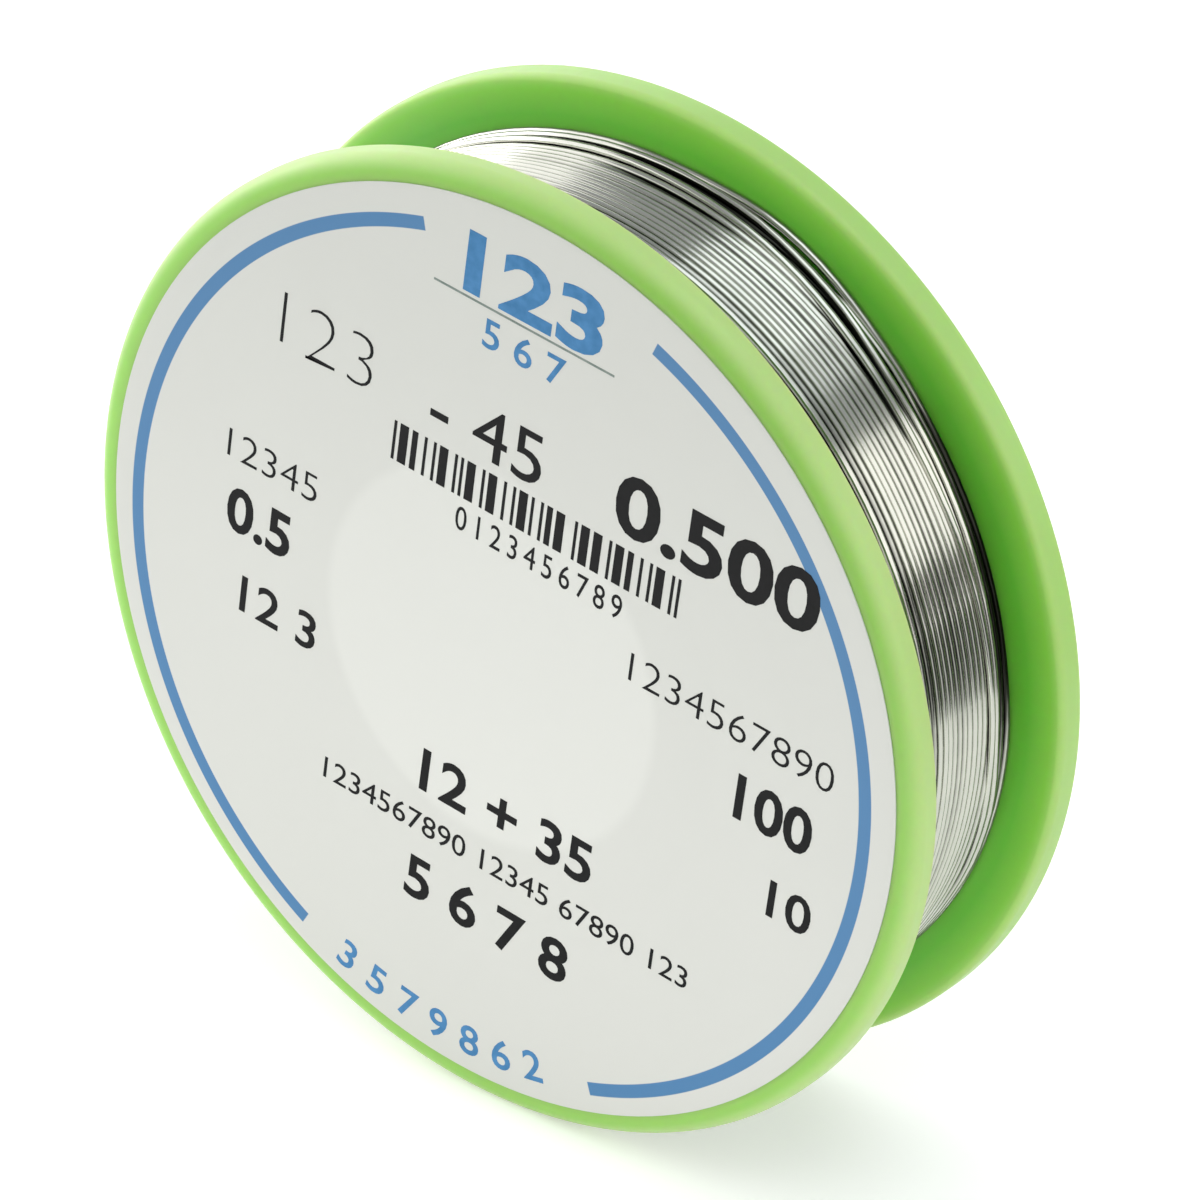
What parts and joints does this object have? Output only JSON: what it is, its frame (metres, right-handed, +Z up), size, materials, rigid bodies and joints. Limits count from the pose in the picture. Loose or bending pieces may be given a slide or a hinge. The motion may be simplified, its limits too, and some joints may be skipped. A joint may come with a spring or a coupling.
{
  "type": "solder wire spool",
  "caption": "Small round plastic spool, wound with thin solder wire between two flanges, with a paper label on the front face.",
  "frame": {"origin": "on the floor, below the middle of the spool as it stands on its two rims", "axes": "+Y along the spool's axis, from the labelled front face to the open rear face; +Z up"},
  "size_m": [0.063, 0.0164, 0.063],
  "materials": {
    "green_plastic": "light green polystyrene, satin and slightly translucent",
    "solder": "bright tin solder wire",
    "label_paper": "coated label paper with a blue ring in two arcs"
  },
  "bodies": {
    "root": {"front_flange": "green_plastic", "rear_flange_hub": "green_plastic", "wire_core": "solder", "wire_outer_turns": "solder", "front_label": "label_paper"}
  },
  "joints": []
}
